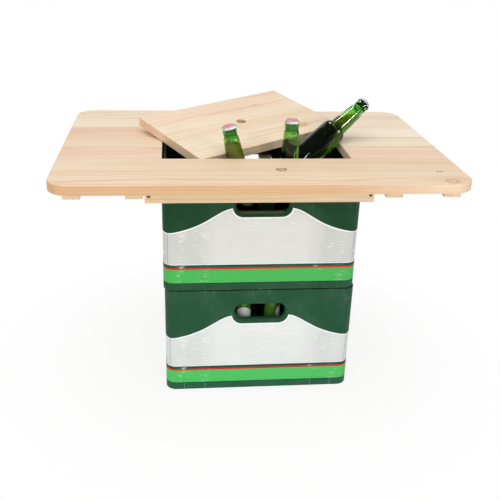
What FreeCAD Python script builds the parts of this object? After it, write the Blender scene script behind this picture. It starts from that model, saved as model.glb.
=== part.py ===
import FreeCAD, Part
import math
import os

import Sketcher

V = FreeCAD.Vector
Rotation = FreeCAD.Rotation
Placement = FreeCAD.Placement
UP = V(0, 0, 1)

doc = FreeCAD.newDocument("beer_crate_table")

# Driving sizes in millimetres and degrees; a text that starts with = is worked out from the others.
SIZES = (
    # crates
    ("crate_length", "397.5"),
    ("crate_width", "300"),
    ("crate_pitch", "240"),
    ("crate_corner", "22"),
    ("crate_wall", "4.5"),
    ("crate_floor", "8"),
    ("crate_edge_round", "1.5"),
    ("ledge_thickness", "6"),
    ("lip_height", "14"),
    ("lip_inset", "5.5"),
    ("lip_thickness", "3.2"),
    ("lip_clearance", "2.7"),
    ("groove_clearance", "1"),
    ("web_thickness", "3.5"),
    ("riser_thickness", "2.2"),
    ("foot_height", "16.4"),
    ("foot_line", "1.6"),
    ("foot_line_depth", "1"),
    ("upper_crate_shift", "10.7"),
    ("lower_crate_shift", "13.1"),
    # hand holes
    ("hand_length", "106"),
    ("hand_bottom", "169.5"),
    ("hand_top", "205"),
    ("hand_corner", "15"),
    ("frame_side", "3.5"),
    ("frame_bottom", "5.5"),
    ("frame_top", "2.6"),
    ("frame_rounding", "3"),
    ("frame_depth", "4"),
    ("hood_wall", "3"),
    ("hood_depth", "10"),
    # printed sleeve
    ("label_bottom", "57.5"),
    ("label_depth", "1.6"),
    ("label_thickness", "0.8"),
    ("label_play", "0.3"),
    ("wave_low", "127"),
    ("wave_high", "180"),
    ("frame_border", "3"),
    # dividers
    ("cell_length", "62.4"),
    ("cell_width", "66"),
    ("divider_thickness", "1.8"),
    ("divider_height", "125"),
    # table top
    ("top_length", "772"),
    ("board_thickness", "18"),
    ("stave_width", "80.5"),
    ("short_board_width", "79.8"),
    ("board_gap", "0.15"),
    ("hatch_length", "374"),
    ("top_corner_radius", "43"),
    ("edge_round", "1.5"),
    ("batten_width", "31"),
    ("batten_thickness", "18"),
    ("batten_setback", "33"),
    ("outer_batten_inset", "37"),
    ("frame_shift", "3.5"),
    ("collar_side_play", "9.25"),
    ("collar_front_play", "5"),
    ("strip_thickness", "15"),
    ("strip_height", "55"),
    ("screw_inset", "14"),
    # lid
    ("lid_clearance", "1.5"),
    ("finger_hole", "20"),
    ("cleat_length", "190"),
    ("cleat_width", "40"),
    ("cleat_thickness", "9.6"),
    ("cleat_offset", "115"),
    ("lid_turn", "31.7"),
    ("lid_shift", "-15.7"),
    # screws
    ("screw_shank", "3.5"),
    ("screw_head", "7"),
    ("screw_head_height", "2.2"),
    ("screw_bite", "12"),
    ("screw_clearance", "0.1"),
    # bottles
    ("bottle_radius", "27.5"),
    ("bottle_height", "210"),
    ("base_round", "3"),
    ("body_height", "104"),
    ("shoulder_height", "16"),
    ("shoulder_radius", "19.3"),
    ("neck_radius", "15.5"),
    ("neck_height", "64"),
    ("ring_radius", "14"),
    ("ring_height", "8.5"),
    ("lip_radius", "12.9"),
    ("mouth_radius", "9"),
    ("glass_wall", "3"),
    ("cap_radius", "14.6"),
    ("cap_height", "6.6"),
    ("cap_sheet", "1"),
    ("beer_play", "0.3"),
    ("fill_height", "169.5"),
    ("neck_label_low", "20"),
    ("neck_label_height", "32"),
    ("neck_label_sheet", "0.4"),
    ("neck_label_turn", "120"),
    ("rest_gap", "0.3"),
    # how the three loose bottles stand
    ("upright_bottle_x", "68.7"),
    ("tilted_bottle_lean", "12.7"),
    ("tilted_bottle_offset", "21.25"),
    ("leaning_bottle_x", "91.5"),
    ("leaning_bottle_y", "-47"),
    ("leaning_bottle_turn", "30.6"),
    # sizes that follow from the ones above
    ("rim_underside", "=crate_pitch - ledge_thickness"),
    ("lip_top", "=crate_pitch + lip_height"),
    ("lip_inner", "=lip_inset + lip_thickness"),
    ("groove_outer", "=lip_inset - lip_clearance"),
    ("groove_inner", "=lip_inner + lip_clearance"),
    ("groove_roof", "=lip_height + groove_clearance"),
    ("web_top", "=groove_roof + web_thickness"),
    ("riser_inner", "=groove_inner + riser_thickness"),
    ("foot_line_top", "=foot_height + foot_line"),
    ("label_inner", "=label_depth - 0.1"),
    ("label_outer", "=label_inner - label_thickness"),
    ("label_crest", "=wave_high - label_play"),
    ("divider_level", "=crate_floor + divider_height"),
    ("hatch_width", "=3 * short_board_width + 4 * board_gap"),
    ("plank_width", "=2 * stave_width + board_gap"),
    ("top_width", "=2 * plank_width + hatch_width"),
    ("short_board_length", "=(top_length - hatch_length) / 2"),
    ("board_level", "=2 * crate_pitch + lip_height"),
    ("top_level", "=board_level + board_thickness"),
    ("batten_length", "=top_width - 2 * batten_setback"),
    ("outer_batten_offset", "=top_length / 2 - outer_batten_inset"),
    ("collar_length", "=crate_length + 2 * collar_side_play + 2 * strip_thickness"),
    ("collar_depth", "=crate_width + 2 * collar_front_play + 2 * strip_thickness"),
    ("side_strip_length", "=collar_depth - 2 * strip_thickness"),
    ("inner_batten_offset", "=(collar_length + batten_width) / 2"),
    ("lid_length", "=hatch_length - 2 * lid_clearance"),
    ("lid_board_width", "=(hatch_width - 2 * lid_clearance - 2 * board_gap) / 3"),
    ("lid_width", "=hatch_width - 2 * lid_clearance"),
    ("base_radius", "=bottle_radius - base_round"),
    ("shoulder_level", "=body_height + shoulder_height"),
    ("neck_level", "=shoulder_level + neck_height"),
    ("ring_top", "=lip_level - 1.5"),
    ("ring_bottom", "=ring_top - ring_height"),
    ("groove_level", "=ring_bottom - 3"),
    ("groove_radius", "=ring_radius - 0.8"),
    ("lip_level", "=bottle_height - cap_height - 1"),
    ("mouth_level", "=bottle_height - cap_sheet - 0.2"),
    ("inside_radius", "=bottle_radius - glass_wall"),
    ("inside_base_radius", "=inside_radius - base_round"),
    ("inside_base", "=glass_wall + 1"),
    ("inside_base_top", "=inside_base + base_round"),
    ("inside_shoulder_radius", "=shoulder_radius - glass_wall"),
    ("inside_neck_radius", "=neck_radius - glass_wall"),
    ("beer_radius", "=inside_radius - beer_play"),
    ("beer_base_radius", "=inside_base_radius - beer_play"),
    ("beer_base", "=inside_base + beer_play"),
    ("beer_base_top", "=inside_base_top"),
    ("beer_shoulder_radius", "=inside_shoulder_radius - beer_play"),
    ("beer_neck_radius", "=inside_neck_radius - beer_play"),
    ("beer_mouth_radius", "=mouth_radius - beer_play"),
    ("beer_top", "=mouth_level - 4"),
    ("cap_inside_radius", "=lip_radius + 0.2"),
    ("cap_inside_level", "=bottle_height - cap_sheet"),
    ("cap_skirt_level", "=bottle_height - cap_height"),
    ("cap_shoulder_level", "=bottle_height - 2.2"),
    ("cap_top_radius", "=cap_radius - 2"),
    ("cap_hem_radius", "=cap_radius + 0.5"),
    ("neck_taper", "=(shoulder_radius - neck_radius) / neck_height"),
    ("sticker_low", "=shoulder_level + neck_label_low"),
    ("sticker_high", "=sticker_low + neck_label_height"),
    ("sticker_low_in", "=shoulder_radius - neck_taper * neck_label_low + 0.1"),
    ("sticker_high_in", "=sticker_low_in - neck_taper * neck_label_height"),
    ("sticker_low_out", "=sticker_low_in + neck_label_sheet"),
    ("sticker_high_out", "=sticker_high_in + neck_label_sheet"),
)
sheet = doc.addObject("Spreadsheet::Sheet", "sizes")
for row, (alias, text) in enumerate(SIZES, 1):
    sheet.set("A%d" % row, alias.replace("_", " "))
    sheet.set("B%d" % row, text)
    sheet.setAlias("B%d" % row, alias)
doc.recompute()

nodes = []


def size(alias):
    """The value of one size; no alias stands for nought."""
    return float(sheet.get(alias)) if alias else 0.0


def term(alias):
    """The same size as an expression."""
    return "sizes." + alias if alias else "0"


def node(piece, label):
    """Keep a finished piece under its node name."""
    piece.Label = label
    nodes.append(piece)
    return piece


def box(label, length, width, height, corner):
    """A block with its low corner at the given point and sizes bound to the sheet."""
    piece = doc.addObject("Part::Box", label)
    piece.setExpression("Length", length)
    piece.setExpression("Width", width)
    piece.setExpression("Height", height)
    piece.Placement = Placement(V(*corner), Rotation())
    return piece


def feature(label, shape):
    """A shape made with Part's own functions, for cutters and groups of solids."""
    piece = doc.addObject("Part::Feature", label)
    piece.Shape = shape
    return piece


def rounded(label, base, radius, chosen):
    """The base with the chosen edges rounded."""
    doc.recompute()
    piece = doc.addObject("Part::Fillet", label)
    piece.Base = base
    piece.Edges = [(i, radius, radius) for i, edge in enumerate(base.Shape.Edges, 1) if chosen(edge)]
    doc.recompute()
    return piece


def cut(label, base, tool):
    """Base without tool."""
    piece = doc.addObject("Part::Cut", label)
    piece.Base = base
    piece.Tool = tool
    return piece


def fuse(label, pieces):
    """Several pieces as one."""
    piece = doc.addObject("Part::MultiFuse", label)
    piece.Shapes = pieces
    return piece


def upright(edge):
    """True for an edge that runs along Z."""
    ends = edge.BoundBox
    return ends.XLength < 1e-6 and ends.YLength < 1e-6


def level(edge):
    """True for an edge that lies in a level plane."""
    return edge.BoundBox.ZLength < 1e-6


# Screws: one countersunk shape, used for the fasteners and, a little larger, for their holes
def screw(length, play):
    """A screw along +Z with the top of its head at the origin."""
    head_radius = size("screw_head") / 2 + play
    shank_radius = size("screw_shank") / 2 + play
    head = Part.makeCone(head_radius, shank_radius, size("screw_head_height"))
    shank = Part.makeCylinder(shank_radius, length + play)
    return head.fuse(shank).removeSplitter()


def screws_at(spots, play=0.0):
    """A group of screws; each spot is a placement and a length."""
    solids = []
    for placement, length in spots:
        solid = screw(length, play)
        solid.Placement = placement
        solids.append(solid)
    return Part.makeCompound(solids)


def drilled(label, base, spots):
    """The base with the holes of those screws that reach it."""
    doc.recompute()
    room = base.Shape.BoundBox
    room.enlarge(1.0)
    near = []
    for placement, length in spots:
        middle = placement.multVec(V(0, 0, length - 2))
        head = placement.multVec(V(0, 0, 2))
        if room.isInside(middle) or room.isInside(head):
            near.append((placement, length))
    if not near:
        return base
    holes = feature(label + "_holes", screws_at(near, size("screw_clearance")))
    return cut(label + "_drilled", base, holes)


# Crates: shell with stacking lip, foot groove, hand holes on four sides and a recess for the sleeve
def block(label, inset, low, high, middle):
    """A crate-shaped block with round corners, inset from the crate's outside, between two levels."""
    away = size(inset)
    corner = (
        middle.x - size("crate_length") / 2 + away,
        middle.y - size("crate_width") / 2 + away,
        middle.z + size(low),
    )
    base = box(
        label + "_box",
        "sizes.crate_length - 2 * " + term(inset),
        "sizes.crate_width - 2 * " + term(inset),
        term(high) + " - " + term(low),
        corner,
    )
    return rounded(label, base, size("crate_corner") - away, upright)


def outline(half, low, high, radius, y):
    """A rounded rectangle standing in the plane at y."""
    slant = radius * (1 - math.sqrt(0.5))
    edges = []
    corners = ((1, low, 1), (1, high, -1), (-1, high, -1), (-1, low, 1))
    stops = []
    for sign, z, way in corners:
        beside = V(sign * half, y, z + way * radius)
        turn = V(sign * (half - slant), y, z + way * slant)
        under = V(sign * (half - radius), y, z)
        order = (under, turn, beside) if sign * way > 0 else (beside, turn, under)
        stops.append(order)
    for here, following in zip(stops, stops[1:] + stops[:1]):
        edges.append(Part.Arc(*here).toShape())
        edges.append(Part.makeLine(here[2], following[0]))
    return Part.Wire(edges)


def hand_hole(distance):
    """Cutter of a hand hole in the wall at -distance: bevelled frame, then a straight tunnel."""
    half = size("hand_length") / 2
    low = size("hand_bottom")
    high = size("hand_top")
    radius = size("hand_corner")
    inner = outline(half, low, high, radius, size("frame_depth") - distance)
    outer = outline(
        half + size("frame_side"),
        low - size("frame_bottom"),
        high + size("frame_top"),
        radius + size("frame_rounding"),
        -distance,
    )
    bevel = Part.makeLoft([outer, inner], True)
    tunnel = Part.Face(inner).extrude(V(0, size("crate_wall") + size("hood_depth"), 0))
    return bevel.fuse(tunnel)


def hood(distance):
    """Collar behind a hand hole that gives it its depth."""
    wall = size("hood_wall")
    ring = outline(
        size("hand_length") / 2 + wall,
        size("hand_bottom") - wall,
        size("hand_top") + wall,
        size("hand_corner") + wall,
        size("crate_wall") - 0.5 - distance,
    )
    return Part.Face(ring).extrude(V(0, size("hood_depth"), 0))


def wave(half, shrink):
    """Sleeve-shaped prism through the crate: level foot, wave up to the hand hole and round its frame."""
    low = size("label_bottom") + shrink
    edge_level = size("wave_low") - shrink
    crest = size("wave_high") - shrink
    border = size("frame_border") + shrink
    inner = size("hand_length") / 2 + size("frame_side") + border
    bottom = size("hand_bottom") - size("frame_bottom") - border
    radius = size("hand_corner") + size("frame_rounding") + border
    slant = radius * (1 - math.sqrt(0.5))
    depth = 2 * size("crate_length")
    steps = ((0, 0), (0.28, 0.12), (0.57, 0.42), (0.8, 0.79), (0.92, 0.95), (1, 1))
    right = [V(half - a * (half - inner), 0, edge_level + b * (crest - edge_level)) for a, b in steps]
    left = [V(-p.x, 0, p.z) for p in reversed(right)]
    rise = Part.BSplineCurve()
    rise.interpolate(right)
    fall = Part.BSplineCurve()
    fall.interpolate(left)
    edges = [
        Part.makeLine(V(-half, 0, low), V(half, 0, low)),
        Part.makeLine(V(half, 0, low), right[0]),
        rise.toShape(),
        Part.makeLine(right[-1], V(inner, 0, bottom + radius)),
        Part.Arc(
            V(inner, 0, bottom + radius),
            V(inner - slant, 0, bottom + slant),
            V(inner - radius, 0, bottom),
        ).toShape(),
        Part.makeLine(V(inner - radius, 0, bottom), V(radius - inner, 0, bottom)),
        Part.Arc(
            V(radius - inner, 0, bottom),
            V(slant - inner, 0, bottom + slant),
            V(-inner, 0, bottom + radius),
        ).toShape(),
        Part.makeLine(V(-inner, 0, bottom + radius), left[0]),
        fall.toShape(),
        Part.makeLine(left[-1], V(-half, 0, low)),
    ]
    prism = Part.Face(Part.Wire(edges)).extrude(V(0, depth, 0))
    prism.translate(V(0, -depth / 2, 0))
    return prism


def on_sides(make, middle):
    """The same cutter on the four walls of a crate."""
    shapes = []
    for turn, reach in ((0, "crate_width"), (90, "crate_length"), (180, "crate_width"), (270, "crate_length")):
        shape = make(size(reach) / 2)
        shape.Placement = Placement(middle, Rotation(UP, turn))
        shapes.append(shape)
    return Part.makeCompound(shapes)


def sleeve(label, inset_out, inset_in, crest, shrink, middle):
    """Ring between two insets, limited by the wave of the long and of the short sides."""
    outer = block(label + "_out", inset_out, "label_bottom", crest, middle)
    inner = block(label + "_in", inset_in, "label_bottom", crest, middle)
    along = wave(size("crate_length") / 2, shrink)
    across = wave(size("crate_width") / 2, shrink)
    across.rotate(V(0, 0, 0), UP, 90)
    shape = along.fuse(across)
    shape.Placement = Placement(middle, Rotation())
    band = doc.addObject("Part::Common", label)
    band.Base = cut(label + "_ring", outer, inner)
    band.Tool = feature(label + "_wave", shape)
    return band


def crate(name, shift, floor):
    """One crate with its insert of divider slats and its printed sleeve."""
    middle = V(size(shift), 0, floor)
    outside = block(name + "_outside", None, None, "crate_pitch", middle)
    softened = rounded(name + "_soft", outside, size("crate_edge_round"), level)
    lip = block(name + "_lip", "lip_inset", "rim_underside", "lip_top", middle)
    room = block(name + "_room", "crate_wall", "web_top", "rim_underside", middle)
    mouth = block(name + "_mouth", "lip_inner", "rim_underside", "lip_top", middle)
    well = block(name + "_well", "riser_inner", "crate_floor", "web_top", middle)
    groove = cut(
        name + "_groove",
        block(name + "_groove_out", "groove_outer", None, "groove_roof", middle),
        block(name + "_groove_in", "groove_inner", None, "groove_roof", middle),
    )
    line = cut(
        name + "_line",
        block(name + "_line_out", None, "foot_height", "foot_line_top", middle),
        block(name + "_line_in", "foot_line_depth", "foot_height", "foot_line_top", middle),
    )
    solid = fuse(name + "_solid", [softened, lip])
    hollow = cut(name + "_hollow", solid, fuse(name + "_hollows", [room, mouth, well]))
    hoods = feature(name + "_hoods", on_sides(hood, middle))
    hooded = fuse(name + "_hooded", [hollow, hoods])
    recess = sleeve(name + "_recess", None, "label_depth", "wave_high", 0.0, middle)
    holes = feature(name + "_hand_holes", on_sides(hand_hole, middle))
    carved = hooded
    for tool in (groove, line, recess, holes):
        carved = cut(tool.Name + "_cut", carved, tool)
    node(carved, name + "_crate")
    label = sleeve(name + "_band", "label_outer", "label_inner", "label_crest", size("label_play"), middle)
    node(label, name + "_label")
    dividers(name, middle)


def dividers(name, middle):
    """Insert of slats: five across the crate and, between them, three rows of short ones."""
    thickness = size("divider_thickness")
    pitch = size("cell_length")
    row = size("cell_width")
    reach = size("crate_width") / 2 - size("riser_inner") - 0.3
    end = size("crate_length") / 2 - size("riser_inner") - 0.3
    foot = middle.z + size("crate_floor")
    across = "sizes.crate_width - 2 * sizes.riser_inner - 0.6"
    short = "sizes.cell_length - sizes.divider_thickness"
    outer = "sizes.crate_length / 2 - sizes.riser_inner - 0.3 - 2 * sizes.cell_length - sizes.divider_thickness / 2"
    tall = "sizes.divider_height"
    thin = "sizes.divider_thickness"
    slats = []
    for step in range(-2, 3):
        x = middle.x + step * pitch - thickness / 2
        slats.append(box("%s_slat_%d" % (name, step + 2), thin, across, tall, (x, -reach, foot)))
    for line in (-1, 0, 1):
        y = line * row - thickness / 2
        for step in range(-3, 3):
            outermost = step in (-3, 2)
            x = middle.x + step * pitch + thickness / 2
            if step == -3:
                x = middle.x - end
            length = outer if outermost else short
            slats.append(box("%s_cross_%d_%d" % (name, line + 1, step + 3), length, thin, tall, (x, y, foot)))
    group = doc.addObject("Part::Compound", name + "_slats")
    group.Links = slats
    node(group, name + "_dividers")


crate("lower", "lower_crate_shift", 0.0)
crate("upper", "upper_crate_shift", size("crate_pitch"))

# Table top: four long staves and six short boards on four battens, with a collar that fits over the crate rim
top_half = size("top_length") / 2
deep_half = size("top_width") / 2
hatch_half = size("hatch_length") / 2
hatch_deep = size("hatch_width") / 2
under = size("board_level")
shift = size("frame_shift")
batten_low = under - size("batten_thickness")
gap = size("board_gap")
short_width = size("short_board_width")
rows = {
    "front": -hatch_deep + gap,
    "middle": -short_width / 2,
    "rear": hatch_deep - gap - short_width,
}
outer_offset = size("outer_batten_offset")
inner_offset = size("inner_batten_offset")
batten_middles = {
    "batten_left_outer": shift - outer_offset,
    "batten_left_inner": shift - inner_offset,
    "batten_right_inner": shift + inner_offset,
    "batten_right_outer": shift + outer_offset,
}

screw_rows = [low + short_width / 2 for low in rows.values()]
for side in (-1, 1):
    screw_rows.append(side * (hatch_deep + size("plank_width") * 0.25))
    screw_rows.append(side * (hatch_deep + size("plank_width") * 0.66))
batten_spots = []
for x in batten_middles.values():
    for y in screw_rows:
        spot = Placement(V(x, y, batten_low), Rotation())
        batten_spots.append((spot, size("batten_thickness") + size("screw_bite")))

# Each long plank is glued up from an inner stave and an outer stave with rounded corners
stave_size = ("sizes.top_length", "sizes.stave_width", "sizes.board_thickness")
stave = size("stave_width")
for side, way in (("front", -1), ("rear", 1)):
    for part, near in (("inner", hatch_deep), ("outer", hatch_deep + stave + gap)):
        label = "%s_%s_stave" % (side, part)
        low_y = near if way > 0 else -near - stave
        outer_y = way * deep_half
        board = box(label + "_box", *stave_size, (-top_half, low_y, under))
        if part == "outer":
            board = rounded(
                label + "_corners",
                board,
                size("top_corner_radius"),
                lambda edge: upright(edge) and abs(edge.CenterOfMass.y - outer_y) < 1,
            )
        seams = (low_y, low_y + stave) if part == "inner" else (way * near,)
        board = rounded(
            label + "_eased",
            board,
            size("edge_round"),
            lambda edge: level(edge) and all(abs(edge.CenterOfMass.y - seam) > 0.1 for seam in seams),
        )
        node(drilled(label, board, batten_spots), label)

board_size = ("sizes.short_board_length", "sizes.short_board_width", "sizes.board_thickness")
for side, low_x in (("left", -top_half), ("right", hatch_half)):
    outer_x = -top_half if side == "left" else top_half
    for name, low_y in rows.items():
        label = "%s_board_%s" % (side, name)
        board = box(label + "_box", *board_size, (low_x, low_y, under))
        board = rounded(
            label + "_eased",
            board,
            size("edge_round"),
            lambda edge: level(edge) and abs(edge.CenterOfMass.x - outer_x) < 0.1,
        )
        node(drilled(label, board, batten_spots), label)

# Collar: long strips in front and behind, side strips between them, screwed at the corners and to the battens
collar_half = size("collar_length") / 2
collar_deep = size("collar_depth") / 2
strip = size("strip_thickness")
strip_low = under - size("strip_height")
strip_rows = (strip_low + size("screw_inset"), under - size("screw_inset"))
collar_spots = []
for end in (-1, 1):
    x = shift + end * (collar_half - strip / 2)
    for z in strip_rows:
        for side in (-1, 1):
            turn = Rotation(V(1, 0, 0), side * 90)
            spot = Placement(V(x, side * collar_deep, z), turn)
            collar_spots.append((spot, strip + 2 * size("screw_bite")))
    for y in (-0.6 * collar_deep, 0, 0.6 * collar_deep):
        spot = Placement(
            V(shift + end * (collar_half - strip), y, under - size("batten_thickness") / 2),
            Rotation(V(0, 1, 0), end * 90),
        )
        collar_spots.append((spot, strip + size("screw_bite")))

batten_size = ("sizes.batten_width", "sizes.batten_length", "sizes.batten_thickness")
for label, x in batten_middles.items():
    corner = (x - size("batten_width") / 2, -size("batten_length") / 2, batten_low)
    batten = box(label + "_box", *batten_size, corner)
    node(drilled(label, batten, batten_spots + collar_spots), label)

long_strip = ("sizes.collar_length", "sizes.strip_thickness", "sizes.strip_height")
side_strip = ("sizes.strip_thickness", "sizes.side_strip_length", "sizes.strip_height")
strips = (
    ("collar_front", long_strip, (shift - collar_half, -collar_deep, strip_low)),
    ("collar_rear", long_strip, (shift - collar_half, collar_deep - strip, strip_low)),
    ("collar_left", side_strip, (shift - collar_half, strip - collar_deep, strip_low)),
    ("collar_right", side_strip, (shift + collar_half - strip, strip - collar_deep, strip_low)),
)
for label, sizes_of, corner in strips:
    node(drilled(label, box(label + "_box", *sizes_of, corner), collar_spots), label)
node(feature("batten_screw_group", screws_at(batten_spots)), "batten_screws")
node(feature("collar_screw_group", screws_at(collar_spots)), "collar_screws")

# Lid of the hatch: it lies askew, on the end edges of the short boards and with a cleat on the rear plank
lid_half = size("lid_length") / 2
lid_deep = size("lid_width") / 2
lid_thick = size("board_thickness")
cleat_half = size("cleat_width") / 2
cleat_under = lid_thick + size("cleat_thickness")
top = size("top_level")


def lid_pose(y, z, pitch, roll):
    """Placement of the lid from the middle of its upper face."""
    turn = Rotation(V(1, 0, 0), roll) * Rotation(V(0, 1, 0), pitch) * Rotation(UP, size("lid_turn"))
    return Placement(V(size("lid_shift"), y, z), turn)


def crossing(first, second, axis, value):
    """Height at which the line through two points meets a plane across X or Y."""
    share = (value - first[axis]) / (second[axis] - first[axis])
    return first.z + share * (second.z - first.z)


def settled_lid():
    """Lower and turn the lid until its three contacts leave only the rest gap."""
    y, z, pitch, roll = 0.6 * hatch_deep, top + cleat_under, 1.3, 8.0
    clear = size("rest_gap")
    for _ in range(120):
        pose = lid_pose(y, z, pitch, roll)
        front_left = pose.multVec(V(-lid_half, -lid_deep, -lid_thick))
        front_right = pose.multVec(V(lid_half, -lid_deep, -lid_thick))
        rear_left = pose.multVec(V(-lid_half, lid_deep, -lid_thick))
        cleat_x = size("cleat_offset") + cleat_half
        cleat_a = pose.multVec(V(cleat_x, -size("cleat_length") / 2, -cleat_under))
        cleat_b = pose.multVec(V(cleat_x, size("cleat_length") / 2, -cleat_under))
        left = crossing(front_left, rear_left, 0, -hatch_half) - top - clear
        right = crossing(front_left, front_right, 0, hatch_half) - top - clear
        rear = crossing(cleat_a, cleat_b, 1, hatch_deep) - top - clear
        lowest = min(front_left.y, pose.multVec(V(-lid_half, -lid_deep, 0)).y)
        y += 0.6 * (-hatch_deep + 2 * clear - lowest)
        z -= 0.6 * (left + right) / 2
        pitch += 0.6 * math.degrees((right - left) / (2 * hatch_half))
        roll -= 0.4 * math.degrees((rear - (left + right) / 2) / hatch_deep)
    return lid_pose(y, z, pitch, roll)


lid = settled_lid()


def on_lid(x, y, z):
    """Placement of a lid piece whose low corner is given from the middle of the lid's upper face."""
    return lid.multiply(Placement(V(x, y, z), Rotation()))


lid_board = size("lid_board_width")
lid_spots = []
for side in (-1, 1):
    for step in (-1, 0, 1):
        for share in (-0.25, 0.25):
            local = V(side * size("cleat_offset"), (step + share) * lid_board, -cleat_under)
            reach = size("cleat_length") / 2 - size("screw_head")
            local.y = max(-reach, min(reach, local.y))
            length = size("cleat_thickness") + size("screw_bite")
            lid_spots.append((lid.multiply(Placement(local, Rotation())), length))

lid_size = ("sizes.lid_length", "sizes.lid_board_width", "sizes.board_thickness")
for step, name in enumerate(("front", "middle", "rear")):
    label = "lid_board_" + name
    low_y = -lid_deep + step * (lid_board + gap)
    board = box(label + "_box", *lid_size, (0, 0, 0))
    board.Placement = on_lid(-lid_half, low_y, -lid_thick)
    if name == "middle":
        bore = doc.addObject("Part::Cylinder", "finger_bore")
        bore.setExpression("Radius", "sizes.finger_hole / 2")
        bore.setExpression("Height", "sizes.board_thickness + 2")
        bore.Placement = on_lid(0, 0, -lid_thick - 1)
        board = cut(label + "_bored", board, bore)
    node(drilled(label, board, lid_spots), label)
cleat_size = ("sizes.cleat_width", "sizes.cleat_length", "sizes.cleat_thickness")
for label, side in (("lid_cleat_left", -1), ("lid_cleat_right", 1)):
    cleat = box(label + "_box", *cleat_size, (0, 0, 0))
    low_x = side * size("cleat_offset") - cleat_half
    cleat.Placement = on_lid(low_x, -size("cleat_length") / 2, -cleat_under)
    node(drilled(label, cleat, lid_spots), label)
node(feature("lid_screw_group", screws_at(lid_spots)), "lid_screws")

# Bottles: turned glass, beer and cap; each point is a radius and a height, a third word marks a round corner
GLASS = (
    (None, None),
    ("base_radius", None, "round"),
    ("bottle_radius", "base_round"),
    ("bottle_radius", "body_height", "round"),
    ("shoulder_radius", "shoulder_level"),
    ("neck_radius", "neck_level"),
    ("groove_radius", "groove_level"),
    ("ring_radius", "ring_bottom"),
    ("ring_radius", "ring_top"),
    ("lip_radius", "lip_level"),
    ("lip_radius", "mouth_level"),
    ("mouth_radius", "mouth_level"),
    ("mouth_radius", "groove_level"),
    ("inside_neck_radius", "neck_level"),
    ("inside_shoulder_radius", "shoulder_level", "round"),
    ("inside_radius", "body_height"),
    ("inside_radius", "inside_base_top", "round"),
    ("inside_base_radius", "inside_base"),
    (None, "inside_base"),
)
BEER = (
    (None, "beer_base"),
    ("beer_base_radius", "beer_base", "round"),
    ("beer_radius", "beer_base_top"),
    ("beer_radius", "body_height", "round"),
    ("beer_shoulder_radius", "shoulder_level"),
    ("beer_neck_radius", "neck_level"),
    ("beer_mouth_radius", "groove_level"),
    ("beer_mouth_radius", "beer_top"),
    (None, "beer_top"),
)
CAP = (
    (None, "cap_inside_level"),
    ("cap_inside_radius", "cap_inside_level"),
    ("cap_inside_radius", "cap_skirt_level"),
    ("cap_hem_radius", "cap_skirt_level"),
    ("cap_radius", "cap_shoulder_level"),
    ("cap_top_radius", "bottle_height"),
    (None, "bottle_height"),
)
STICKER = (
    ("sticker_low_in", "sticker_low"),
    ("sticker_low_out", "sticker_low"),
    ("sticker_high_out", "sticker_high"),
    ("sticker_high_in", "sticker_high"),
)


def pin(sketch, index, place, radius, height):
    """Fix one point of the outline to its two sizes."""
    if radius is None and height is None:
        sketch.addConstraint(Sketcher.Constraint("Coincident", index, place, -1, 1))
        return
    for kind, alias, axis in (("DistanceX", radius, -2), ("DistanceY", height, -1)):
        if alias is None:
            sketch.addConstraint(Sketcher.Constraint("PointOnObject", index, place, axis))
            continue
        number = sketch.addConstraint(Sketcher.Constraint(kind, -1, 1, index, place, size(alias)))
        sketch.setExpression("Constraints[%d]" % number, term(alias))


def turned(label, points, placement, angle=360.0):
    """A body turned round Z from a closed outline."""
    body = doc.addObject("PartDesign::Body", label + "_body")
    sketch = body.newObject("Sketcher::SketchObject", label + "_outline")
    plane = [item for item in body.Origin.OriginFeatures if item.Role == "XZ_Plane"][0]
    sketch.AttachmentSupport = [(plane, "")]
    sketch.MapMode = "FlatFace"
    count = len(points)
    ends = []
    for i, point in enumerate(points):
        following = points[(i + 1) % count]
        here = V(size(point[0]), size(point[1]), 0)
        there = V(size(following[0]), size(following[1]), 0)
        if len(point) < 3:
            sketch.addGeometry(Part.LineSegment(here, there), False)
            ends.append((1, 2))
            continue
        outer, other = (here, there) if here.x > there.x else (there, here)
        run = outer.x - other.x
        climb = other.y - outer.y
        radius = (run * run + climb * climb) / (2 * run)
        circle = Part.Circle(V(outer.x - radius, outer.y, 0), UP, radius)
        bend = math.asin(max(-1.0, min(1.0, climb / radius)))
        if run > radius:
            bend = math.copysign(math.pi, climb) - bend
        sketch.addGeometry(Part.ArcOfCircle(circle, min(0, bend), max(0, bend)), False)
        first = outer if climb > 0 else other
        ends.append((1, 2) if first is here else (2, 1))
        outer_end = 1 if climb > 0 else 2
        sketch.addConstraint(Sketcher.Constraint("Horizontal", i, 3, i, outer_end))
    for i in range(count):
        following = (i + 1) % count
        sketch.addConstraint(Sketcher.Constraint("Coincident", i, ends[i][1], following, ends[following][0]))
    for i, point in enumerate(points):
        pin(sketch, i, ends[i][0], point[0], point[1])
    doc.recompute()
    turn = body.newObject("PartDesign::Revolution", label + "_turn")
    turn.Profile = sketch
    turn.ReferenceAxis = (sketch, ["V_Axis"])
    turn.Angle = angle
    sketch.Visibility = False
    body.Placement = placement
    doc.recompute()
    return body


def bottle(name, placement, surface):
    """Glass, cap and beer of one bottle; the beer ends at a level surface."""
    node(turned(name + "_glass", GLASS, placement), name + "_glass")
    node(turned(name + "_cap", CAP, placement), name + "_cap")
    full = turned(name + "_full", BEER, placement)
    reach = size("bottle_height")
    base = placement.Base
    air = box(
        name + "_air",
        "4 * sizes.bottle_height",
        "4 * sizes.bottle_height",
        "sizes.bottle_height",
        (base.x - 2 * reach, base.y - 2 * reach, surface),
    )
    node(cut(name + "_filled", full, air), name + "_beer")


def standing(name, x, y, foot):
    """An upright bottle on the given level."""
    base = V(x, y, foot + size("rest_gap"))
    bottle(name, Placement(base, Rotation()), base.z + size("fill_height"))
    return base


def cell(shift_alias, column, line):
    """Middle of a cell, counted in halves of a cell from the middle of the crate."""
    return size(shift_alias) + column * size("cell_length") / 2, line * size("cell_width") / 2


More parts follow.
